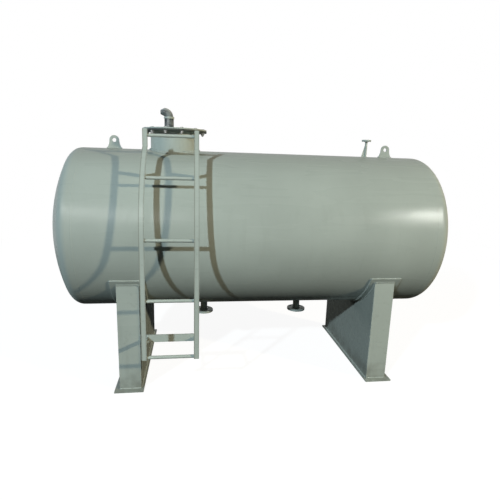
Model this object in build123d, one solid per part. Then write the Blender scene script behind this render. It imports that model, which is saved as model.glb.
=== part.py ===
from build123d import *
import math
import os

# Horizontal storage tank. X runs along the tank, Y away from the ladder, Z up from the ground.

# Tank body
tank_radius = 650.0
shell_wall = 6.0
shell_length = 2743.0
head_wall = 6.0
head_straight = 38.0
crown_radius = 1300.0
knuckle_radius = 78.0
axis_height = 1213.0
seat_clearance = 0.3
cut_overrun = 30.0

# Saddles
saddle_inset = 354.5
saddle_half_angle = 61.0
wear_width = 252.0
wear_plate = 8.0
leg_width = 166.0
leg_plate = 10.0
leg_setback = 93.5
web_plate = 10.0
rib_plate = 10.0
base_plate = 12.0
base_front_margin = 43.5
base_inner_margin = 19.5
base_outer_margin = 36.5
anchor_hole_radius = 12.0
anchor_spacing = 840.0

# Manhole
manhole_inset = 689.0
neck_radius = 196.0
neck_wall = 8.0
neck_height = 146.0
neck_inset = 60.0
neck_setback = 5.0
manhole_flange_radius = 261.5
manhole_flange_plate = 8.0
gasket_plate = 3.0
cover_plate = 10.0
manhole_bolt_circle = 474.0
manhole_bolt_count = 12
manhole_hole_radius = 9.0
gasket_margin = 6.0

# Gooseneck vent on the cover
vent_offset = 46.0
riser_radius = 38.05
riser_wall = 5.0
riser_height = 84.0
collar_margin = 4.0
collar_plate = 14.0
elbow_radius = 33.0
elbow_wall = 4.0
elbow_bend = 36.0
spout_radius = 17.0
spout_length = 32.0

# Bottom nozzles
drain_from_saddle = 584.0
drain_radius = 30.15
drain_wall = 3.9
drain_reach = 122.0
drain_setback = 5.0
drain_flange_radius = 82.5
drain_flange_plate = 16.0
drain_bolt_circle = 125.0
drain_hole_radius = 9.0

# Top nozzle
top_nozzle_inset = 382.0
top_nozzle_radius = 10.65
top_nozzle_wall = 2.6
top_nozzle_height = 146.0
top_flange_radius = 40.0
top_flange_plate = 14.0
top_bolt_circle = 55.0
top_hole_radius = 5.5
nozzle_bolt_count = 4
nozzle_inset = 25.0
gusset_width = 26.0
gusset_height = 95.0
gusset_plate = 6.0

# Lifting lugs
lug_inset = 201.5
lug_plate = 12.0
lug_base_width = 120.0
lug_top_radius = 38.0
lug_hole_radius = 16.0
lug_hole_height = 66.0

# Ladder
ladder_offset = 10.0
ladder_width = 410.0
ladder_gap = 132.0
ladder_arc_angle = 57.5
ladder_foot_drop = 848.0
ladder_top_rise = 787.0
rail_width = 37.0
rail_plate = 8.0
rung_radius = 12.5
rung_end_margin = 4.0
rung_shares = (0.0074, 0.251, 0.4983, 0.7559, 0.9747)
tie_bar_height = 60.0
tie_bar_drop = 784.0
standoff_angle = 43.5
standoff_width = 32.0
standoff_plate = 6.0

seam_x = shell_length / 2
saddle_offset = seam_x - saddle_inset
drain_offset = saddle_offset - drain_from_saddle
top_nozzle_x = seam_x - top_nozzle_inset
manhole_x = manhole_inset - seam_x
crown_z = axis_height + tank_radius
belly_z = axis_height - tank_radius
wear_inner_radius = tank_radius + seat_clearance
wear_outer_radius = wear_inner_radius + wear_plate
saddle_cut_radius = wear_outer_radius + seat_clearance
leg_front = tank_radius - leg_setback
saddle_inner_x = saddle_offset - leg_width / 2
saddle_outer_x = saddle_offset + leg_width / 2
flange_seat_z = crown_z + neck_height
ladder_x = manhole_x - ladder_offset
ladder_radius = tank_radius + ladder_gap
tie_bar_centre = axis_height - tie_bar_drop


def tank_axis_cylinder(radius, length):
    """A solid cylinder on the tank's axis."""
    return Pos(0, 0, axis_height) * Rot(0, 90, 0) * Cylinder(radius, length)


def upright_tube(x, low, high, radius, bore=0):
    """A round bar or tube that stands at x on the tank's centre plane."""
    tube = Pos(x, 0, (low + high) / 2) * Cylinder(radius, high - low)
    if bore:
        tube -= Pos(x, 0, (low + high) / 2) * Cylinder(bore, high - low + 2 * cut_overrun)
    return tube


def bolt_holes(x, low, high, circle, count, radius):
    """A ring of bolt holes through a flange between two heights, straddling the X axis."""
    ring = PolarLocations(circle / 2, count, start_angle=180 / count)
    depth = high - low + 2 * cut_overrun
    return [Pos(x, 0, (low + high) / 2) * place * Cylinder(radius, depth) for place in ring]


def both_sides(name, piece):
    """The same piece at the right end and mirrored to the left end."""
    return {f"right_{name}": piece, f"left_{name}": mirror(piece, about=Plane.YZ)}


def shell():
    body = tank_axis_cylinder(tank_radius, shell_length)
    body -= tank_axis_cylinder(tank_radius - shell_wall, shell_length + 2 * cut_overrun)
    top = crown_z + cut_overrun
    bottom = belly_z - cut_overrun
    body -= upright_tube(manhole_x, axis_height, top, neck_radius + seat_clearance)
    body -= upright_tube(top_nozzle_x, axis_height, top, top_nozzle_radius + seat_clearance)
    for x in (-drain_offset, drain_offset):
        body -= upright_tube(x, bottom, axis_height, drain_radius + seat_clearance)
    return {"shell": body}


def dish_line(wall):
    """The torispherical curve of a head, set in by a wall: straight, knuckle, crown."""
    rim = tank_radius - wall
    knuckle = knuckle_radius - wall
    crown = crown_radius - wall
    turn = math.asin((tank_radius - knuckle_radius) / (crown_radius - knuckle_radius))
    crown_x = head_straight - (crown_radius - knuckle_radius) * math.cos(turn)
    knuckle_z = tank_radius - knuckle_radius
    mid_knuckle = (math.pi / 2 + turn) / 2
    on_knuckle = Vector(head_straight + knuckle * math.cos(mid_knuckle),
                        knuckle_z + knuckle * math.sin(mid_knuckle))
    tangent = Vector(crown_x + crown * math.cos(turn), crown * math.sin(turn))
    on_crown = Vector(crown_x + crown * math.cos(turn / 2), crown * math.sin(turn / 2))
    apex = Vector(crown_x + crown, 0)
    straight = Line((0, rim), (head_straight, rim))
    knuckle_arc = ThreePointArc((head_straight, rim), on_knuckle, tangent)
    crown_arc = ThreePointArc(tangent, on_crown, apex)
    return [straight, knuckle_arc, crown_arc]


def heads():
    outer = dish_line(0)
    inner = dish_line(head_wall)
    rim = Line(outer[0] @ 0, inner[0] @ 0)
    crown = Line(outer[2] @ 1, inner[2] @ 1)
    section = make_face([*outer, *inner, rim, crown])
    dish = revolve(Plane.XZ * section, Axis.X)
    return both_sides("head", Pos(seam_x, 0, axis_height) * dish)


def manhole():
    flange_top = flange_seat_z + manhole_flange_plate
    cover_low = flange_top + gasket_plate
    cover_top = cover_low + cover_plate
    bore = neck_radius - neck_wall
    neck = upright_tube(manhole_x, crown_z - neck_inset, flange_top - neck_setback, neck_radius, bore)
    flange = upright_tube(manhole_x, flange_seat_z, flange_top, manhole_flange_radius,
                          neck_radius + seat_clearance)
    gasket_radius = manhole_bolt_circle / 2 - manhole_hole_radius - gasket_margin
    gasket = upright_tube(manhole_x, flange_top, cover_low, gasket_radius, bore)
    cover = upright_tube(manhole_x, cover_low, cover_top, manhole_flange_radius)
    for hole in bolt_holes(manhole_x, flange_seat_z, cover_top, manhole_bolt_circle,
                           manhole_bolt_count, manhole_hole_radius):
        flange -= hole
        cover -= hole
    vent_x = manhole_x - vent_offset
    cover -= upright_tube(vent_x, flange_seat_z, cover_top + cut_overrun, riser_radius - riser_wall)
    return {"manhole_neck": neck, "manhole_flange": flange, "manhole_gasket": gasket,
            "manhole_cover": cover, **vent(vent_x, cover_top)}


def vent(x, low):
    """Riser pipe, collar, an elbow that turns to the left and a tapered spout."""
    riser_top = low + riser_height
    collar_top = riser_top + collar_plate
    elbow_bore = elbow_radius - elbow_wall
    riser = upright_tube(x, low, riser_top, riser_radius, riser_radius - riser_wall)
    collar = upright_tube(x, riser_top, collar_top, riser_radius + collar_margin, elbow_bore)
    hub = Vector(x - elbow_bend, 0, collar_top)
    mid = hub + Vector(1, 0, 1) * (elbow_bend * math.sqrt(0.5))
    path = ThreePointArc((x, 0, collar_top), mid, hub + Vector(0, 0, elbow_bend))
    ring = Pos(x, 0, collar_top) * (Circle(elbow_radius) - Circle(elbow_bore))
    profile = Polyline((elbow_radius, 0), (spout_radius, spout_length),
                       (spout_radius - elbow_wall, spout_length), (elbow_bore, 0), close=True)
    spout = Rot(0, -90, 0) * revolve(Plane.XZ * make_face(profile), Axis.Z)
    spout = Pos(hub.X, 0, collar_top + elbow_bend) * spout
    return {"vent_riser": riser, "vent_collar": collar, "vent_elbow": sweep(ring, path), "vent_spout": spout}


def bottom_nozzles():
    """A short pipe with a slip-on flange under each half of the tank."""
    face = belly_z - drain_reach
    back = face + drain_flange_plate
    pipe = upright_tube(drain_offset, face + drain_setback, belly_z + nozzle_inset, drain_radius,
                        drain_radius - drain_wall)
    flange = upright_tube(drain_offset, face, back, drain_flange_radius, drain_radius + seat_clearance)
    for hole in bolt_holes(drain_offset, face, back, drain_bolt_circle, nozzle_bolt_count, drain_hole_radius):
        flange -= hole
    return {**both_sides("drain_pipe", pipe), **both_sides("drain_flange", flange)}


def top_nozzle():
    """A thin pipe with a small flange, braced by a gusset on its left."""
    face = crown_z + top_nozzle_height
    back = face - top_flange_plate
    bore = top_nozzle_radius - top_nozzle_wall
    stub = upright_tube(top_nozzle_x, crown_z - nozzle_inset, back, top_nozzle_radius, bore)
    flange = upright_tube(top_nozzle_x, back, face, top_flange_radius, bore)
    for hole in bolt_holes(top_nozzle_x, back, face, top_bolt_circle, nozzle_bolt_count, top_hole_radius):
        flange -= hole
    near = top_nozzle_x - top_nozzle_radius - seat_clearance
    low = crown_z + seat_clearance
    corners = Polyline((near, low), (near, low + gusset_height), (near - gusset_width, low), close=True)
    gusset = extrude(Plane.XZ * make_face(corners), amount=gusset_plate / 2, both=True)
    return {"top_nozzle_stub": stub, "top_nozzle_flange": flange, "top_nozzle_gusset": gusset}


def lifting_lugs():
    """A plate with an eye and flared foot, standing along the top line at each end."""
    eye = crown_z + lug_hole_height
    low = crown_z + seat_clearance
    left = (-lug_top_radius, eye)
    right = (lug_top_radius, eye)
    left_foot = (-lug_base_width / 2, low)
    right_foot = (lug_base_width / 2, low)
    edges = [ThreePointArc(left, (0, eye + lug_top_radius), right),
             TangentArc(right, right_foot, tangent=(0, -1)), Line(right_foot, left_foot),
             TangentArc(left, left_foot, tangent=(0, -1))]
    outline = make_face(edges) - Pos(0, eye) * Circle(lug_hole_radius)
    lug = extrude(Plane.XZ * outline, amount=lug_plate / 2, both=True)
    return both_sides("lifting_lug", Pos(seam_x - lug_inset, 0, 0) * lug)


def saddle():
    """Wear plate, base plate, web at the inner edge, end plates and one rib behind the web."""
    clear = tank_axis_cylinder(saddle_cut_radius, 2 * shell_length)
    strip = Rectangle(wear_width, wear_plate)
    ring = Pos(saddle_offset, wear_inner_radius + wear_plate / 2) * strip
    wear = revolve(Plane.XZ * ring, Axis.X, 2 * saddle_half_angle)
    wear = Pos(0, 0, axis_height) * Rot(180 - saddle_half_angle, 0, 0) * wear

    base_low_x = saddle_inner_x - base_inner_margin
    base_high_x = saddle_outer_x + base_outer_margin
    base_width = base_high_x - base_low_x
    base_length = 2 * (leg_front + base_front_margin)
    base = Pos((base_low_x + base_high_x) / 2, 0, base_plate / 2) * Box(base_width, base_length, base_plate)
    for y in (-anchor_spacing / 2, anchor_spacing / 2):
        base -= Pos(saddle_offset, y, 0) * Cylinder(anchor_hole_radius, 2 * base_plate + cut_overrun)

    height = axis_height - base_plate
    middle = base_plate + height / 2
    leg = Pos(saddle_offset, -leg_front + leg_plate / 2, middle) * Box(leg_width, leg_plate, height) - clear
    web_length = 2 * (leg_front - leg_plate)
    web = Pos(saddle_inner_x + web_plate / 2, 0, middle) * Box(web_plate, web_length, height) - clear
    rib_width = leg_width - web_plate
    rib = Pos(saddle_outer_x - rib_width / 2, 0, middle) * Box(rib_width, rib_plate, height) - clear
    pieces = {"wear_plate": wear, "base_plate": base, "front_leg": leg,
              "rear_leg": mirror(leg, about=Plane.XZ), "saddle_web": web, "saddle_rib": rib}
    nodes = {}
    for name, piece in pieces.items():
        nodes.update(both_sides(name, piece))
    return nodes


def on_ladder_arc(angle):
    """A point of the arc that the rails' backs follow over the tank, at an angle above its axis."""
    turn = math.radians(angle)
    return Vector(0, -ladder_radius * math.cos(turn), axis_height + ladder_radius * math.sin(turn))


def rail_path():
    """The back line of a rail: upright to the tank's middle, over its shoulder, upright to the manhole."""
    level = on_ladder_arc(0)
    high = on_ladder_arc(ladder_arc_angle)
    foot = Vector(0, level.Y, axis_height - ladder_foot_drop)
    top = Vector(0, high.Y, axis_height + ladder_top_rise)
    shoulder = ThreePointArc(level, on_ladder_arc(ladder_arc_angle / 2), high)
    return Wire([Line(foot, level), shoulder, Line(high, top)])


def rail(path, x):
    """A flat bar that follows the ladder's line at x."""
    start = Plane(origin=path @ 0, x_dir=(1, 0, 0), z_dir=path % 0)
    section = start * Pos(x, -rail_plate / 2) * Rectangle(rail_width, rail_plate)
    return sweep(section, path=path, transition=Transition.RIGHT)


def standoffs(x):
    """The two bars behind a rail: one square to the shell, one to the tie bar."""
    length = ladder_gap - 2 * seat_clearance
    upper = Pos(0, -tank_radius - ladder_gap / 2, 0) * Box(standoff_plate, length, standoff_width)
    upper = Pos(x, 0, axis_height) * Rot(-standoff_angle, 0, 0) * upper
    lower = Box(standoff_plate, ladder_radius - leg_front, standoff_width)
    return upper, Pos(x, -(ladder_radius + leg_front) / 2, tie_bar_centre) * lower


def ladder():
    """Two rails, rungs welded behind them, stand-offs to the shell and to a tie bar on the left saddle."""
    path = rail_path()
    rail_offset = (ladder_width - rail_width) / 2
    nodes = {}
    for side, x in (("left", ladder_x - rail_offset), ("right", ladder_x + rail_offset)):
        upper, lower = standoffs(x)
        nodes[f"ladder_{side}_rail"] = rail(path, x)
        nodes[f"ladder_{side}_standoff"] = upper
        nodes[f"ladder_{side}_tie_standoff"] = lower

    rung = Rot(0, 90, 0) * Cylinder(rung_radius, ladder_width - 2 * rung_end_margin)
    for number, share in enumerate(rung_shares, start=1):
        behind = (path % share).cross(Vector(1, 0, 0))
        centre = path @ share + behind * (rung_radius + seat_clearance)
        nodes[f"ladder_rung_{number}"] = Pos(ladder_x, centre.Y, centre.Z) * rung

    low_x = -saddle_inner_x
    high_x = ladder_x + ladder_width / 2
    tie = Box(high_x - low_x, leg_plate, tie_bar_height)
    nodes["ladder_tie_bar"] = Pos((low_x + high_x) / 2, -leg_front + leg_plate / 2, tie_bar_centre) * tie
    return nodes


def main():
    os.makedirs("parts", exist_ok=True)
    groups = (shell(), heads(), manhole(), bottom_nozzles(), top_nozzle(), lifting_lugs(), saddle(), ladder())
    for group in groups:
        for name, piece in group.items():
            export_step(piece, f"parts/{name}.step")


main()
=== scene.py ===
import math
import bmesh
import bpy
import numpy as np
from mathutils import Matrix, Vector


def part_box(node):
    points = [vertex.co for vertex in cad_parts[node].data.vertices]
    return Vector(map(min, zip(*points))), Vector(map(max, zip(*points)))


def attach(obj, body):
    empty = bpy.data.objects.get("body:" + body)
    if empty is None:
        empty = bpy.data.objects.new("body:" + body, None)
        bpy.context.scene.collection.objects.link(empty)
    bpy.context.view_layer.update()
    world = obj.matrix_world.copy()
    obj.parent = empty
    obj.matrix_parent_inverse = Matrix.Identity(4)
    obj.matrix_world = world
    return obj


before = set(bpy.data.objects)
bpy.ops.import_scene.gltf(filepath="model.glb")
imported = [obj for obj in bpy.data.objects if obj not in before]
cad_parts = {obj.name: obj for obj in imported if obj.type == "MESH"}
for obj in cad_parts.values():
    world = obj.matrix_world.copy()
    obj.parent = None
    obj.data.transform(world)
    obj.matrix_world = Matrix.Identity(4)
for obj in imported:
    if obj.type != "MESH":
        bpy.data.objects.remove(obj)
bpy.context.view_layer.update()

print("frame loaded:", len(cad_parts), "nodes")


# Sizes read from the frame, in metres
sides = ("left", "right")   # both ends of the tank, and both rails of the ladder


def span(node):
    low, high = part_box(node)
    return np.array(low), np.array(high)


def middle(node):
    low, high = span(node)
    return (low + high) / 2


def topOf(node):
    return span(node)[1][2]


def bottomOf(node):
    return span(node)[0][2]


def pipePlace(node):
    # the X of an upright pipe's axis, and the pipe's radius
    low, high = span(node)
    return (low[0] + high[0]) / 2, (high[0] - low[0]) / 2


shellLow, shellHigh = span("shell")
seamX = shellHigh[0]
tankRadius = (shellHigh[2] - shellLow[2]) / 2
axisHeight = (shellHigh[2] + shellLow[2]) / 2
tankAxis = np.array([0.0, 0.0, axisHeight])   # the point in the middle of the tank's axis
neckX, neckRadius = pipePlace("manhole_neck")


# Mesh helpers: every new piece is one or more grids of points
def gridFaces(rows, columns, closeRows, closeColumns):
    # quads of a rows x columns grid, wrapped round in either direction where asked
    r = np.arange(rows if closeRows else rows - 1)
    c = np.arange(columns if closeColumns else columns - 1)
    r, c = np.meshgrid(r, c, indexing="ij")
    nextR, nextC = (r + 1) % rows, (c + 1) % columns
    corners = [r * columns + c, nextR * columns + c, nextR * columns + nextC, r * columns + nextC]
    return np.stack(corners, -1).reshape(-1, 4)


def capFaces(columns, row):
    # one polygon over a row of a grid, for the end of a swept bead
    return np.arange(columns) + row * columns


def makePiece(name, parts, material, smooth=True):
    # parts: (points as a rows x columns x 3 grid, closeRows, closeColumns), all put into one mesh
    points, faces, start = [], [], 0
    for grid, closeRows, closeColumns in parts:
        rows, columns = grid.shape[:2]
        points.append(grid.reshape(-1, 3))
        faces.extend((gridFaces(rows, columns, closeRows, closeColumns) + start).tolist())
        if closeColumns and not closeRows:
            faces.append((capFaces(columns, 0) + start)[::-1].tolist())
            faces.append((capFaces(columns, rows - 1) + start).tolist())
        start += rows * columns
    mesh = bpy.data.meshes.new(name)
    mesh.from_pydata(np.concatenate(points).tolist(), [], faces)
    mesh.update()
    mesh.polygons.foreach_set("use_smooth", np.full(len(mesh.polygons), smooth))
    piece = bpy.data.objects.new(name, mesh)
    bpy.context.scene.collection.objects.link(piece)
    outward(piece)
    mesh.materials.append(material)
    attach(piece, "root")
    print(" ", name, len(mesh.polygons), "faces")


def outward(piece):
    # turns every face of a closed mesh to point outwards
    work = bmesh.new()
    work.from_mesh(piece.data)
    bmesh.ops.recalc_face_normals(work, faces=work.faces)
    work.to_mesh(piece.data)
    work.free()


def unit(vectors):
    return vectors / np.linalg.norm(vectors, axis=-1, keepdims=True)


def atX(x, point):
    # a point's Y and Z with another X
    return np.array([x, *point[1:]])


# Node helpers for the finishes
def nodeMaker(owner):
    tree = owner.node_tree

    def add(kind, inputs=None, **settings):
        node = tree.nodes.new(kind)
        for key, value in settings.items():
            setattr(node, key, value)
        for key, value in (inputs or {}).items():
            if isinstance(value, bpy.types.NodeSocket):
                tree.links.new(value, node.inputs[key])
            else:
                node.inputs[key].default_value = value
        return node
    return add


def compute(add, operation, *values):
    return add("ShaderNodeMath", dict(enumerate(values)), operation=operation).outputs[0]


def ramp(add, value, low, high, lowOut=0.0, highOut=1.0):
    # a smooth step of a value between two limits
    return add("ShaderNodeMapRange", {0: value, 1: low, 2: high, 3: lowOut, 4: highOut},
               interpolation_type="SMOOTHSTEP", clamp=True).outputs[0]


def noise(add, place, scale, detail, rough=0.55):
    inputs = {"Vector": place, "Scale": scale, "Detail": detail, "Roughness": rough}
    return add("ShaderNodeTexNoise", inputs).outputs[0]


def layer(add, place, kind, lowOut, highOut):
    # a noise that goes from one output to the other between its limits
    return ramp(add, noise(add, place, **kind["noise"]), *kind["limits"], lowOut, highOut)


def stretched(add, place, scale):
    return add("ShaderNodeMapping", {"Vector": place, "Scale": scale}).outputs[0]


def objectPlace(add):
    return add("ShaderNodeTexCoord").outputs["Object"]


def faceNormal(add):
    return add("ShaderNodeNewGeometry").outputs["Normal"]


def upwardness(add):
    # 1 on a level top face, 0 on an upright one
    return add("ShaderNodeSeparateXYZ", {0: faceNormal(add)}).outputs[2]


def colourInput(value):
    return value if isinstance(value, bpy.types.NodeSocket) else (*value, 1.0)


def blendColour(add, share, first, second, mode="MIX"):
    inputs = {0: share, 6: colourInput(first), 7: colourInput(second)}
    return add("ShaderNodeMix", inputs, data_type="RGBA", blend_type=mode).outputs[2]


def newMaterial(name):
    material = bpy.data.materials.new(name)
    material.use_nodes = True
    material.node_tree.nodes.clear()
    return material, nodeMaker(material)


def closeMaterial(add, colour, roughness, height, relief, metallic=0.0, specular=0.45, facing=None):
    # a Principled shader with a bump, joined to the output
    bumpInputs = {"Height": height, **relief}
    if facing:
        bumpInputs["Normal"] = facing
    shader = add("ShaderNodeBsdfPrincipled", {
        "Base Color": colour, "Roughness": roughness, "Metallic": metallic, "Specular IOR Level": specular,
        "Normal": add("ShaderNodeBump", bumpInputs).outputs[0]})
    add("ShaderNodeOutputMaterial", {"Surface": shader.outputs[0]})


# Paint: colours are linear, noise scales are per metre, fades and heights are in metres
paint = {
    "colour": (0.385, 0.430, 0.397),
    "grimeAndShade": (0.150, 0.150, 0.125),
    "specular": 0.20,
    "mottle": {"noise": {"scale": 1.7, "detail": 3.0}, "limits": (0.25, 0.75), "share": 0.06},
    "speckle": {"noise": {"scale": 26.0, "detail": 5.0, "rough": 0.6}, "limits": (0.56, 0.72)},
    "streak": {"noise": {"scale": 16.0, "detail": 3.0}, "limits": (0.55, 0.78),
               "stretch": (1.0, 1.0, 0.06), "steep": (0.45, 0.80)},
    "splash": {"noise": {"scale": 11.0, "detail": 4.0}, "limits": (0.18, 0.62), "height": 0.30},
    "scuff": {"noise": {"scale": 34.0, "detail": 6.0, "rough": 0.7}, "limits": (0.60, 0.68),
              "colour": (0.235, 0.225, 0.205)},
    "shadedEdgeFade": (0.002, 0.009),
    "topDirtAndShade": {"colour": (0.300, 0.325, 0.290), "lying": (0.72, 1.0), "limits": (0.3, 0.7),
             "shares": (0.20, 0.50)},   # darker film on faces that look up: partly dirt, partly painted shade
    "gloss": {"noise": {"scale": 9.0, "detail": 2.0}, "limits": (0.3, 0.7),
              "stretch": (0.12, 1.0, 1.0), "roughness": 0.27, "strays": (-0.03, 0.06)},
    "peel": {"scale": 240.0, "detail": 2.0},
    "relief": {"Strength": 0.10, "Distance": 0.0005},
}

dish = {"flattening": 0.8, "tip": 0.047, "fade": 0.065}   # tip and fade are radii in metres


def dishFacing(add, place):
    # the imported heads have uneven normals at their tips, so there the paint takes the dish's own normal:
    # (flattening * x, y, z - axisHeight) made one long
    centred = add("ShaderNodeMapping", {"Vector": place, "Location": (0.0, 0.0, -axisHeight),
                                        "Scale": (dish["flattening"], 1.0, 1.0)}).outputs[0]
    smooth = add("ShaderNodeVectorMath", {0: centred}, operation="NORMALIZE").outputs[0]
    across = add("ShaderNodeVectorMath", {0: centred, 1: (0.0, 1.0, 1.0)}, operation="MULTIPLY").outputs[0]
    radius = add("ShaderNodeVectorMath", {0: across}, operation="LENGTH").outputs[1]
    share = ramp(add, radius, dish["tip"], dish["fade"], 1.0, 0.0)
    return add("ShaderNodeMix", {0: share, 4: faceNormal(add), 5: smooth}, data_type="VECTOR").outputs[1]


def paintMaterial(name, runs=0.0, splash=0.0, scuff=0.0, wave=0.0, speckles=0.16, shadedEdges=(), strength=1.0,
                  dull=0.0, dished=False):
    # semi-gloss paint with broad mottle, specks, run-off streaks, splashes near the ground, worn spots,
    # painted shade as dark lines at places along X, and a darker top film, partly dirt and partly painted
    # shade; strength scales the colour, dull adds to the roughness, wave gives the plate broad dents, and
    # dished is for the shell and its heads
    material, add = newMaterial(name)
    grimeAndShade, mottle, topDirtAndShade, gloss = paint["grimeAndShade"], paint["mottle"], paint["topDirtAndShade"], paint["gloss"]
    place, upward = objectPlace(add), upwardness(add)
    along = add("ShaderNodeSeparateXYZ", {0: place})
    broad = noise(add, place, **mottle["noise"])
    darkest, lightest = strength * (1 - mottle["share"]), strength * (1 + mottle["share"])
    tone = ramp(add, broad, *mottle["limits"], darkest, lightest)
    shade = add("ShaderNodeCombineColor", {0: tone, 1: tone, 2: tone}).outputs[0]
    colour = blendColour(add, 1.0, paint["colour"], shade, "MULTIPLY")
    colour = blendColour(add, layer(add, place, paint["speckle"], 0.0, speckles), colour, grimeAndShade)
    if runs:
        streak = paint["streak"]
        hanging = stretched(add, place, streak["stretch"])
        steep = ramp(add, upward, *streak["steep"], runs, 0.0)   # no runs on faces that look up
        colour = blendColour(add, layer(add, hanging, streak, 0.0, steep), colour, grimeAndShade)
    if splash:
        drops = paint["splash"]
        low = ramp(add, along.outputs[2], 0.0, drops["height"], 1.0, 0.0)
        dirt = compute(add, "MULTIPLY", low, noise(add, place, **drops["noise"]))
        colour = blendColour(add, ramp(add, dirt, *drops["limits"], 0.0, splash), colour, grimeAndShade)
    if scuff:
        worn = layer(add, place, paint["scuff"], 0.0, scuff)
        colour = blendColour(add, worn, colour, paint["scuff"]["colour"])
    # painted shade: dark lines along the rails' edges, in the colour shared with the dirt
    for x, share in shadedEdges:
        apart = compute(add, "ABSOLUTE", compute(add, "SUBTRACT", along.outputs[0], x))
        colour = blendColour(add, ramp(add, apart, *paint["shadedEdgeFade"], share, 0.0), colour, grimeAndShade)
    # darker film on top faces: partly dirt, partly painted shade that darkens the tops
    topDirtAndShadeAmount = ramp(add, broad, *topDirtAndShade["limits"], *topDirtAndShade["shares"])
    topDirtAndShadeMask = compute(add, "MULTIPLY", ramp(add, upward, *topDirtAndShade["lying"]), topDirtAndShadeAmount)
    colour = blendColour(add, topDirtAndShadeMask, colour, topDirtAndShade["colour"])
    rolled = stretched(add, place, gloss["stretch"])   # gloss varies in bands that lie along the tank
    least, most = (gloss["roughness"] + dull + stray for stray in gloss["strays"])
    height = compute(add, "MULTIPLY_ADD", broad, wave, noise(add, place, **paint["peel"]))
    closeMaterial(add, colour, layer(add, rolled, gloss, least, most), height, paint["relief"],
                  specular=paint["specular"], facing=dishFacing(add, place) if dished else None)
    return material


railEdgeShade = {"leftEdge": 0.60, "rightEdge": 0.40}   # how strongly the painted shade along the rails' edges shows


def railShadedEdges():
    # places along X of the rails' edges that get painted shade, each with its strength
    shadedEdges = []
    for side in sides:
        low, high = span(f"ladder_{side}_rail")
        shadedEdges += [(low[0], railEdgeShade["leftEdge"]), (high[0], railEdgeShade["rightEdge"])]
    return shadedEdges


shellPaint = paintMaterial("shellPaint", runs=0.07, wave=4.0, speckles=0.04, dished=True)
fittingPaint = paintMaterial("fittingPaint", runs=0.06)
# the manhole flange is painted dark as painted shade, deepening the shaded band under the cover
shadedFlangePaint = paintMaterial("shadedFlangePaint", runs=0.06, strength=0.22, dull=0.40)
saddlePaint = paintMaterial("saddlePaint", runs=0.14, splash=0.55)
# the saddle webs are painted about a third darker as painted shade under the tank
shadedWebPaint = paintMaterial("shadedWebPaint", runs=0.20, splash=0.55, strength=0.69)
# the ladder and rails are painted a tenth lighter than the tank, as painted light
ladderPaint = paintMaterial("ladderPaint", scuff=0.30, strength=1.12)
railPaint = paintMaterial("railPaint", scuff=0.25, shadedEdges=railShadedEdges(), strength=1.10)


# Other finishes: one grain drives the colour, the gloss where it varies, and the bump
weldFinish = {
    "grain": {"scale": 90.0, "detail": 5.0, "rough": 0.65},
    "grimeLimits": (0.42, 0.70),
    "grimeShare": 0.45,
    "roughness": 0.55,
    "relief": {"Strength": 0.35, "Distance": 0.002},
}


def weldMaterial():
    # painted weld metal, rougher than plate, with grime in its ripples
    material, add = newMaterial("weldPaint")
    grain = noise(add, objectPlace(add), **weldFinish["grain"])
    dirt = ramp(add, grain, *weldFinish["grimeLimits"], 0.0, weldFinish["grimeShare"])
    colour = blendColour(add, dirt, paint["colour"], paint["grimeAndShade"])
    closeMaterial(add, colour, weldFinish["roughness"], grain, weldFinish["relief"])
    return material


zincFinish = {
    "grain": {"scale": 130.0, "detail": 4.0},
    "bare": (0.46, 0.47, 0.46),
    "bloom": (0.62, 0.62, 0.60),
    "bloomLimits": (0.35, 0.68),
    "glossLimits": (0.3, 0.7),
    "roughness": (0.38, 0.60),
    "metallic": 0.7,
    "relief": {"Strength": 0.2, "Distance": 0.001},
}


def zincMaterial():
    # dull zinc of the bolts, with a patchy bloom
    material, add = newMaterial("boltZinc")
    grain = noise(add, objectPlace(add), **zincFinish["grain"])
    bloomed = ramp(add, grain, *zincFinish["bloomLimits"])
    colour = blendColour(add, bloomed, zincFinish["bare"], zincFinish["bloom"])
    rough = ramp(add, grain, *zincFinish["glossLimits"], *zincFinish["roughness"])
    closeMaterial(add, colour, rough, grain, zincFinish["relief"], metallic=zincFinish["metallic"])
    return material


rubberFinish = {
    "grain": {"scale": 180.0, "detail": 4.0},
    "black": (0.022, 0.022, 0.021),
    "dustAndHighlight": (0.085, 0.083, 0.078),
    "dustAndHighlightLimits": (0.45, 0.75),
    "dustAndHighlightShare": 0.5,
    "roughness": 0.78,
    "relief": {"Strength": 0.3, "Distance": 0.001},
}


def rubberMaterial():
    # black sheet rubber with a dusty cut edge
    material, add = newMaterial("gasketRubber")
    grain = noise(add, objectPlace(add), **rubberFinish["grain"])
    dustAndHighlightMask = ramp(add, grain, *rubberFinish["dustAndHighlightLimits"], 0.0, rubberFinish["dustAndHighlightShare"])
    colour = blendColour(add, dustAndHighlightMask, rubberFinish["black"], rubberFinish["dustAndHighlight"])
    closeMaterial(add, colour, rubberFinish["roughness"], grain, rubberFinish["relief"])
    return material


ventFinish = {
    "grain": {"scale": 21.0, "detail": 4.0},
    "dark": (0.042, 0.052, 0.055),
    "pale": (0.200, 0.220, 0.218),
    "paleLimits": (0.45, 0.68),
    "dustAndHighlight": (0.400, 0.420, 0.415),
    "dustAndHighlightLimits": (0.10, 0.75),
    "dustAndHighlightShare": 0.85,
    "glossLimits": (0.4, 0.7),
    "roughness": (0.22, 0.45),
    "specular": 0.6,
    "relief": {"Strength": 0.15, "Distance": 0.002},
}


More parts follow.
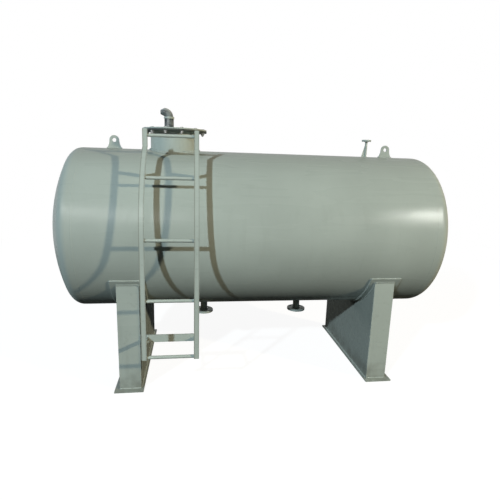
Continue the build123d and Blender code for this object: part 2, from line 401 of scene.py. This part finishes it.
def ventMaterial():
    # dark glossy pipe with pale patches, and a pale top as painted highlight where it looks up
    material, add = newMaterial("ventGloss")
    grain = noise(add, objectPlace(add), **ventFinish["grain"])
    patches = ramp(add, grain, *ventFinish["paleLimits"])
    colour = blendColour(add, patches, ventFinish["dark"], ventFinish["pale"])
    # painted highlight: faces that look up are made pale
    dustAndHighlightMask = ramp(add, upwardness(add), *ventFinish["dustAndHighlightLimits"], 0.0, ventFinish["dustAndHighlightShare"])
    colour = blendColour(add, dustAndHighlightMask, colour, ventFinish["dustAndHighlight"])
    rough = ramp(add, grain, *ventFinish["glossLimits"], *ventFinish["roughness"])
    closeMaterial(add, colour, rough, grain, ventFinish["relief"], specular=ventFinish["specular"])
    return material


weldPaint = weldMaterial()
boltZinc = zincMaterial()
gasketRubber = rubberMaterial()
ventGloss = ventMaterial()


def finishFor(node):
    if node == "manhole_gasket":
        return gasketRubber
    if node == "manhole_flange":
        return shadedFlangePaint
    if node in ("vent_riser", "vent_elbow", "vent_spout"):
        return ventGloss
    if node.endswith("_rail"):
        return railPaint
    if node.startswith("ladder"):
        return ladderPaint
    if node in ("shell", "left_head", "right_head"):
        return shellPaint
    if "saddle_" in node:
        return shadedWebPaint
    if "base_plate" in node or "_leg" in node:
        return saddlePaint
    return fittingPaint


for node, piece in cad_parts.items():
    piece.data.materials.clear()
    piece.data.materials.append(finishFor(node))
print("finishes set")


# Weld beads: a rounded fillet carried along a path between two surfaces
weld = {
    "ripplePitch": 0.009,
    "rippleDepth": 0.10,      # share by which a ripple swells the bead
    "stepsPerRipple": 3,
    "fewestSteps": 4,
    "profileSteps": 6,
    "root": 0.0015,           # how far the bead's root lies inside the corner
}


def swelling(length, depth):
    # 1 between two ripples and 1 + depth at the top of each, along a bead
    return 1 + depth * np.abs(np.sin(math.pi * length / weld["ripplePitch"]))


def alongPath(corner, wayA, wayB, leg, closed):
    # section: root, then leg * (cos f * wayA + sin f * wayB) for f from 0 to 90 degrees
    # leg swells with each ripple
    step = np.linalg.norm(np.diff(corner, axis=0), axis=1)
    length = np.concatenate([[0.0], np.cumsum(step)])
    turn = np.linspace(0, math.pi / 2, weld["profileSteps"])
    reach = (leg * swelling(length, weld["rippleDepth"]))[:, None, None]
    arc = corner[:, None] + reach * (np.cos(turn)[None, :, None] * wayA[:, None]
                                     + np.sin(turn)[None, :, None] * wayB[:, None])
    root = (corner - weld["root"] * (wayA + wayB))[:, None]
    return np.concatenate([root, arc], 1), closed, True


def samples(length, closed=False):
    # evenly spaced shares of a path, enough to show the ripples
    count = max(weld["fewestSteps"], int(length / weld["ripplePitch"] * weld["stepsPerRipple"]))
    return np.linspace(0, 1, count, endpoint=not closed)


def ringPath(centre, radius, axis):
    # a circle round X, Y or Z, with the outward direction at each point
    turn = 2 * math.pi * samples(2 * math.pi * radius, True)
    across = [i for i in range(3) if i != axis]
    out = np.zeros((len(turn), 3))
    out[:, across[0]], out[:, across[1]] = np.cos(turn), np.sin(turn)
    return np.asarray(centre) + radius * out, out


def ringFillet(x, height, radius, side, leg):
    # fillet round an upright pipe where it meets a level face, above it (side 1) or below it (side -1)
    path, out = ringPath((x, 0, height), radius, 2)
    up = np.tile([0.0, 0.0, float(side)], (len(path), 1))
    return alongPath(path, out, up, leg, True)


def tankFillet(x, radius, side, leg):
    # fillet where an upright pipe of that radius meets the tank's top (side 1) or bottom (side -1)
    ring, out = ringPath((x, 0, 0), radius, 2)
    path = ring.copy()
    path[:, 2] = axisHeight + side * np.sqrt(tankRadius ** 2 - ring[:, 1] ** 2)
    normal = unit(path * [0, 1, 1] - tankAxis)   # square to the tank, so without X
    onTank = unit(out - np.sum(out * normal, 1, keepdims=True) * normal)
    up = np.tile([0.0, 0.0, float(side)], (len(path), 1))
    return alongPath(path, onTank, up, leg, True)


def lineFillet(start, end, wayA, wayB, leg):
    # straight fillet from one point to another
    start, end = np.asarray(start, float), np.asarray(end, float)
    share = samples(np.linalg.norm(end - start))[:, None]
    path = start + (end - start) * share
    ways = [np.tile(unit(np.asarray(way, float)), (len(path), 1)) for way in (wayA, wayB)]
    return alongPath(path, *ways, leg, False)


def arcFillet(x, radius, halfAngle, sideX, leg):
    # fillet along an arc under the tank's axis: one leg along X, the other away from the axis
    turn = -halfAngle + 2 * halfAngle * samples(2 * halfAngle * radius)
    out = np.stack([np.zeros_like(turn), np.sin(turn), -np.cos(turn)], 1)
    path = atX(x, tankAxis) + radius * out
    along = np.tile([float(sideX), 0.0, 0.0], (len(turn), 1))
    return alongPath(path, along, out, leg, False)


girth = {
    "width": 0.013,
    "height": 0.0012,
    "rippleDepth": 0.25,
    "profileSteps": 8,
    "sunk": 0.001,            # how far the bead's edges lie inside the plate
}


def girthBead(x):
    # seam bead round the tank: half the width * cos f along X, height * sin f - sunk above the plate,
    # f from 0 to 180 degrees; height swells with each ripple
    path, out = ringPath(atX(x, tankAxis), tankRadius, 0)
    length = 2 * math.pi * tankRadius * np.arange(len(path)) / len(path)
    rise = girth["height"] * swelling(length, girth["rippleDepth"])
    turn = np.linspace(0, math.pi, girth["profileSteps"])
    grid = path[:, None] + rise[:, None, None] * np.sin(turn)[None, :, None] * out[:, None]
    grid = grid - girth["sunk"] * out[:, None]
    grid[..., 0] += girth["width"] / 2 * np.cos(turn)
    return grid, True, True


makePiece("girth_welds", [girthBead(-seamX), girthBead(seamX)], shellPaint)

manhole = {"shellLeg": 0.012, "flangeLeg": 0.008, "ventLeg": 0.014}
flangeBottom, coverTop = bottomOf("manhole_flange"), topOf("manhole_cover")
riserX, riserRadius = pipePlace("vent_riser")
makePiece("manhole_welds", [
    tankFillet(neckX, neckRadius, 1, manhole["shellLeg"]),
    ringFillet(neckX, flangeBottom, neckRadius, -1, manhole["flangeLeg"]),
    ringFillet(riserX, coverTop, riserRadius, 1, manhole["ventLeg"]),
], weldPaint)

nozzle = {"shellLeg": 0.008, "flangeLeg": 0.006, "smallLeg": 0.005}
nozzleParts = []
for side in sides:
    pipeX, pipeRadius = pipePlace(f"{side}_drain_pipe")
    flangeTop = topOf(f"{side}_drain_flange")
    nozzleParts.append(tankFillet(pipeX, pipeRadius, -1, nozzle["shellLeg"]))
    nozzleParts.append(ringFillet(pipeX, flangeTop, pipeRadius, 1, nozzle["flangeLeg"]))
stubX, stubRadius = pipePlace("top_nozzle_stub")
nozzleParts.append(tankFillet(stubX, stubRadius, 1, nozzle["smallLeg"]))
nozzleParts.append(ringFillet(stubX, bottomOf("top_nozzle_flange"), stubRadius, -1, nozzle["smallLeg"]))
makePiece("nozzle_welds", nozzleParts, weldPaint)
print("tank welds made")


# Saddle welds
saddle = {"wearLeg": 0.006, "plateLeg": 0.007}


def wearWelds(side):
    # beads round a wear plate: along both curved edges and both straight ones
    low, high = span(f"{side}_wear_plate")
    halfAngle = math.asin(high[1] / (axisHeight - low[2]))
    parts = [arcFillet(x, tankRadius, halfAngle, way, saddle["wearLeg"])
             for x, way in ((low[0], -1), (high[0], 1))]
    for way in (-1, 1):
        angle = way * halfAngle
        out = np.array([0, math.sin(angle), -math.cos(angle)])
        upWay = np.array([0, math.cos(angle), math.sin(angle)]) * way
        corner = tankAxis + tankRadius * out
        start, end = atX(low[0], corner), atX(high[0], corner)
        parts.append(lineFillet(start, end, upWay, out, saddle["wearLeg"]))
    return parts


def plateWelds(side, sign):
    # beads of a saddle's web and legs, under the wear plate and on the base plate
    legLow, legHigh = span(f"{side}_front_leg")
    webLow, webHigh = span(f"{side}_saddle_web")
    baseTop = topOf(f"{side}_base_plate")
    wearRadius = axisHeight - bottomOf(f"{side}_wear_plate")
    legAngle = math.asin(-legLow[1] / wearRadius)
    inner, outer = (webHigh[0], webLow[0]) if sign < 0 else (webLow[0], webHigh[0])
    leg = saddle["plateLeg"]
    parts = []
    for x, way in ((inner, -sign), (outer, sign)):
        start, end = (x, webLow[1], baseTop), (x, webHigh[1], baseTop)
        parts.append(arcFillet(x, wearRadius, legAngle, way, leg))
        parts.append(lineFillet(start, end, (way, 0, 0), (0, 0, 1), leg))
    legTop = axisHeight - wearRadius * math.cos(legAngle)
    for front in (-1, 1):
        y = front * -legLow[1]
        tangent = (0, front * math.cos(legAngle), math.sin(legAngle))
        for height, wayA, wayB in ((legTop, tangent, (0, 0, -1)), (baseTop, (0, front, 0), (0, 0, 1))):
            parts.append(lineFillet((legLow[0], y, height), (legHigh[0], y, height), wayA, wayB, leg))
    return parts


saddleParts = []
for side, sign in zip(sides, (-1, 1)):
    saddleParts += wearWelds(side) + plateWelds(side, sign)
makePiece("saddle_welds", saddleParts, weldPaint)


# Ladder welds
ladder = {"rungLeg": 0.010, "barLeg": 0.005, "barWidth": 0.032}
rungs = sorted(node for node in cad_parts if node.startswith("ladder_rung_"))


def backOf(rail, point):
    # the place on a rail next to a point, the way from the rail to the point and the way up along the rail
    place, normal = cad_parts[rail].closest_point_on_mesh(Vector(point))[1:3]
    normal = unit(atX(0.0, normal))
    return np.array(place), normal, np.array([0.0, -normal[2], normal[1]])


def rungWelds(rung, rail):
    # a bead above and below the rung where it lies against the rail's back
    railLow, railHigh = span(rail)
    rungLow, rungHigh = span(rung)
    low, high = max(railLow[0], rungLow[0]), min(railHigh[0], rungHigh[0])
    place, normal, up = backOf(rail, atX((low + high) / 2, middle(rung)))
    start, end = atX(low, place), atX(high, place)
    return [lineFillet(start, end, up * way, normal, ladder["rungLeg"]) for way in (-1, 1)]


def barWelds(bar, root, out, up):
    # a bead on both flat sides of a bar where it meets a face that looks along out
    barLow, barHigh = span(bar)
    reach = up * ladder["barWidth"] / 2
    parts = []
    for x, way in ((barLow[0], -1), (barHigh[0], 1)):
        corner = atX(x, root)
        parts.append(lineFillet(corner - reach, corner + reach, (way, 0, 0), out, ladder["barLeg"]))
    return parts


def standoffWelds(side):
    # the upper bar stands between shell and rail, the lower one between tie bar and rail
    upper, lower, rail = f"ladder_{side}_standoff", f"ladder_{side}_tie_standoff", f"ladder_{side}_rail"
    out = unit(atX(0.0, middle(upper) - tankAxis))
    parts = barWelds(upper, tankAxis + tankRadius * out, out, np.array([0.0, out[2], -out[1]]))
    front, up = np.array([0.0, -1.0, 0.0]), np.array([0.0, 0.0, 1.0])
    tieFace = np.array([0.0, span(lower)[1][1], middle(lower)[2]])
    parts += barWelds(lower, tieFace, front, up)
    for bar in (upper, lower):
        parts += barWelds(bar, *backOf(rail, middle(bar)))
    return parts


ladderParts = []
for side in sides:
    ladderParts += standoffWelds(side)
    for rung in rungs:
        ladderParts += rungWelds(rung, f"ladder_{side}_rail")
tieLow, tieHigh = span("ladder_tie_bar")
for y, way in ((tieLow[1], -1), (tieHigh[1], 1)):
    foot, head = (tieLow[0], y, tieLow[2]), (tieLow[0], y, tieHigh[2])
    ladderParts.append(lineFillet(foot, head, (1, 0, 0), (0, way, 0), ladder["barLeg"]))
makePiece("ladder_welds", ladderParts, weldPaint)

lug = {"leg": 0.007}
crown = axisHeight + tankRadius
lugParts = []
for side in sides:
    lugLow, lugHigh = span(f"{side}_lifting_lug")
    for y, way in ((lugLow[1], -1), (lugHigh[1], 1)):
        start, end = (lugLow[0], y, crown), (lugHigh[0], y, crown)
        lugParts.append(lineFillet(start, end, (0, way, 0), (0, 0, 1), lug["leg"]))
makePiece("lug_welds", lugParts, weldPaint)
print("saddle, ladder and lug welds made")


# Manhole bolts: rows of a profile turned round the bolt's axis, hexagonal at head and nut
bolt = {
    "count": 12,
    "circle": 0.474,
    "startShare": 0.5,        # of the step between two bolts
    "twist": 0.37,            # radians by which each bolt is turned further than the last
    "shank": 0.008,
    "acrossFlats": 0.024,
    "headHeight": 0.0045,
    "nutHeight": 0.013,
    "chamfer": 0.0015,
    "chamferShare": 0.92,     # radius of the chamfered end, of the flat's
    "washerRadius": 0.015,
    "washer": 0.002,
    "tail": 0.009,
    "point": 0.002,
    "pointShare": 0.75,       # radius of the thread's end, of the shank's
    "corners": 24,
}


def boltRows(top, bottom):
    # (height, radius, 1 for hexagon or 0 for round) from the head's top down to the thread's end
    flat, washer, shank = bolt["acrossFlats"] / 2, bolt["washerRadius"], bolt["shank"]
    eased, chamfer = flat * bolt["chamferShare"], bolt["chamfer"]
    headFoot, nutTop = top + bolt["washer"], bottom - bolt["washer"]
    head, nutFoot = headFoot + bolt["headHeight"], nutTop - bolt["nutHeight"]
    end = nutFoot - bolt["tail"]
    return np.array([
        (head, 0.0, 0), (head, eased, 0), (head - chamfer, flat, 1), (headFoot, flat, 1),
        (headFoot, washer, 0), (top, washer, 0), (top, shank, 0), (bottom, shank, 0),
        (bottom, washer, 0), (nutTop, washer, 0), (nutTop, flat, 1), (nutFoot + chamfer, flat, 1),
        (nutFoot, eased, 0), (nutFoot, shank, 0), (end + bolt["point"], shank, 0),
        (end, shank * bolt["pointShare"], 0), (end, 0.0, 0)])


def boltGrid(rows, x, y, twist):
    # radius of a hexagon at angle f: flat / cos(f mod 60 - 30)
    turn = np.linspace(0, 2 * math.pi, bolt["corners"], endpoint=False)
    hexagon = 1 / np.cos(np.mod(turn + twist, math.pi / 3) - math.pi / 6)
    radius = rows[:, 1:2] * np.where(rows[:, 2:3] > 0, hexagon[None], 1.0)
    height = np.repeat(rows[:, 0:1], len(turn), 1)
    return np.stack([x + radius * np.cos(turn), y + radius * np.sin(turn), height], -1), False, True


rows = boltRows(coverTop, flangeBottom)
boltParts = []
for index in range(bolt["count"]):
    angle = 2 * math.pi * (index + bolt["startShare"]) / bolt["count"]
    x, y = neckX + bolt["circle"] / 2 * math.cos(angle), bolt["circle"] / 2 * math.sin(angle)
    boltParts.append(boltGrid(rows, x, y, index * bolt["twist"]))
makePiece("manhole_bolts", boltParts, boltZinc, smooth=False)
print("bolts made")


# Stage: a pale floor that fades to white, a white backdrop that gives a weak even light, and soft boxes
stage = {
    "white": (1.0, 1.0, 1.0, 1.0),
    "floorSize": 60.0,
    "floorGlow": 0.90,           # share of white that the floor shows by itself
    "floorPale": (0.20, 0.20, 0.20, 1.0),   # what lamps add to it, so that shadows stay
    "floorBounce": (0.05, 0.05, 0.048, 1.0),
    "mirrored": 0.5,             # strength of the white backdrop in reflections
    "fadeFrom": 3.0,
    "fadeTo": 7.0,
    "skyLight": 0.03,
}


def whereSeen(add):
    # 1 where the camera sees a surface or looks through glass at it, and the same for reflections
    ray = add("ShaderNodeLightPath").outputs
    return compute(add, "MAXIMUM", ray["Is Camera Ray"], ray["Is Transmission Ray"]), ray["Is Glossy Ray"]


def whiteGlow(add, strength):
    return add("ShaderNodeEmission", {"Color": stage["white"], "Strength": strength}).outputs[0]


def matt(add, colour):
    return add("ShaderNodeBsdfDiffuse", {"Color": colour}).outputs[0]


def mixed(add, share, first, second):
    return add("ShaderNodeMixShader", {0: share, 1: first, 2: second}).outputs[0]


def makeFloor():
    # seen directly it is pale and fades to white, in reflections it fades to the backdrop,
    # and otherwise it bounces only little light
    half = stage["floorSize"] / 2
    corners = [(-half, -half, 0), (half, -half, 0), (half, half, 0), (-half, half, 0)]
    mesh = bpy.data.meshes.new("floor")
    mesh.from_pydata(corners, [], [(0, 1, 2, 3)])
    floor = bpy.data.objects.new("floor", mesh)
    bpy.context.scene.collection.objects.link(floor)
    material, add = newMaterial("floorPale")
    distance = add("ShaderNodeVectorMath", {0: objectPlace(add)}, operation="LENGTH").outputs[1]
    far = ramp(add, distance, stage["fadeFrom"], stage["fadeTo"])
    lit = {0: matt(add, stage["floorPale"]), 1: whiteGlow(add, stage["floorGlow"])}
    seen = mixed(add, far, add("ShaderNodeAddShader", lit).outputs[0], whiteGlow(add, 1.0))
    direct, glossy = whereSeen(add)
    bounce = matt(add, stage["floorBounce"])
    mirrored = mixed(add, far, bounce, whiteGlow(add, stage["mirrored"]))
    unseen = mixed(add, glossy, bounce, mirrored)
    add("ShaderNodeOutputMaterial", {"Surface": mixed(add, direct, unseen, seen)})
    mesh.materials.append(material)


def makeSky():
    # white where it is seen, about half as strong in reflections, and a weak light on the tank
    world = bpy.data.worlds.new("studio")
    bpy.context.scene.world = world
    world.use_nodes = True
    world.node_tree.nodes.clear()
    add = nodeMaker(world)
    direct, glossy = whereSeen(add)
    seen = compute(add, "MULTIPLY_ADD", glossy, stage["mirrored"], direct)
    strength = add("ShaderNodeMapRange", {0: seen, 3: stage["skyLight"], 4: 1.0}).outputs[0]
    background = add("ShaderNodeBackground", {"Color": stage["white"], "Strength": strength})
    add("ShaderNodeOutputWorld", {"Surface": background.outputs[0]})


# Azimuth goes from the ladder's side (-Y) towards +X and elevation from level, in degrees, at the shell's
# side in line with the manhole; aim is the X that the box looks at there and spread its beam in degrees.
# A box with glossy False is left out of reflections, one with diffuse False shows only in them.
softBoxes = {
    "coolLeft": {"azimuth": -38.3, "elevation": 28.2, "distance": 16.0, "size": 0.55, "power": 2060.0,
                 "colour": (0.77, 0.925, 1.0), "glossy": False},
    "warmRight": {"azimuth": 60.4, "elevation": 18.6, "distance": 14.0, "size": 0.5, "power": 1285.0,
                  "colour": (1.0, 0.87, 0.62), "glossy": False},
    "nearRight": {"azimuth": 58.5, "elevation": 18.6, "distance": 4.7, "size": 0.65, "power": 4.4,
                  "colour": (1.0, 0.97, 0.91), "diffuse": False, "aim": seamX, "spread": 36.0},
    "wideLeft": {"azimuth": -34.0, "elevation": 27.6, "distance": 3.87, "size": 4.2, "height": 0.6,
                 "power": 92.0, "colour": (1.0, 1.0, 1.0), "diffuse": False},
    "fillBehind": {"azimuth": 180.0, "elevation": 7.0, "distance": 12.0, "size": 3.0, "power": 700.0,
                   "colour": (1.0, 1.0, 1.0), "glossy": False},
}


def makeSoftBox(name, box):
    # a box without height is square, one without aim looks at the manhole's line, without spread all round
    turn, rise = math.radians(box["azimuth"]), math.radians(box["elevation"])
    way = Vector((math.sin(turn) * math.cos(rise), -math.cos(turn) * math.cos(rise), math.sin(rise)))
    lamp = bpy.data.lights.new(name, "AREA")
    lamp.shape, lamp.energy, lamp.color = "RECTANGLE", box["power"], box["colour"]
    lamp.size, lamp.size_y = box["size"], box.get("height", box["size"])
    lamp.spread = math.radians(box.get("spread", 180.0))
    holder = bpy.data.objects.new(name, lamp)
    holder.location = Vector((neckX, -tankRadius, axisHeight)) + way * box["distance"]
    beam = holder.location - Vector((box.get("aim", neckX), -tankRadius, axisHeight))
    holder.rotation_euler = beam.to_track_quat("Z", "Y").to_euler()
    holder.visible_diffuse, holder.visible_glossy = box.get("diffuse", True), box.get("glossy", True)
    bpy.context.scene.collection.objects.link(holder)


makeFloor()
makeSky()
for name, box in softBoxes.items():
    makeSoftBox(name, box)

view = {
    "place": (-0.5291, -3.5463, 0.5693),   # metres from the tank's centre
    "yaw": 0.1419,                         # radians towards +X
    "pitch": -0.2123,
    "roll": 0.0315,
    "focalShare": 405.40 / 500,            # focal length of the picture's width, both in pixels
    "sensor": 36.0,                        # millimetres
    "farthest": 200.0,
}


def makeCamera():
    yaw, pitch, roll = view["yaw"], view["pitch"], view["roll"]
    ahead = Vector((math.sin(yaw) * math.cos(pitch), math.cos(yaw) * math.cos(pitch), math.sin(pitch)))
    level = Vector((math.cos(yaw), -math.sin(yaw), 0))
    upright = level.cross(ahead)
    right = level * math.cos(roll) + upright * math.sin(roll)
    up = upright * math.cos(roll) - level * math.sin(roll)
    lens = bpy.data.cameras.new("photoView")
    lens.sensor_width, lens.lens = view["sensor"], view["focalShare"] * view["sensor"]
    lens.clip_end = view["farthest"]
    camera = bpy.data.objects.new("photoView", lens)
    turn = Matrix((right, up, -ahead)).transposed().to_4x4()
    camera.matrix_world = Matrix.Translation(Vector(view["place"]) + Vector((0, 0, axisHeight))) @ turn
    bpy.context.scene.collection.objects.link(camera)
    bpy.context.scene.camera = camera


makeCamera()
bpy.context.scene.view_settings.view_transform = "Standard"
print("stage and camera set")
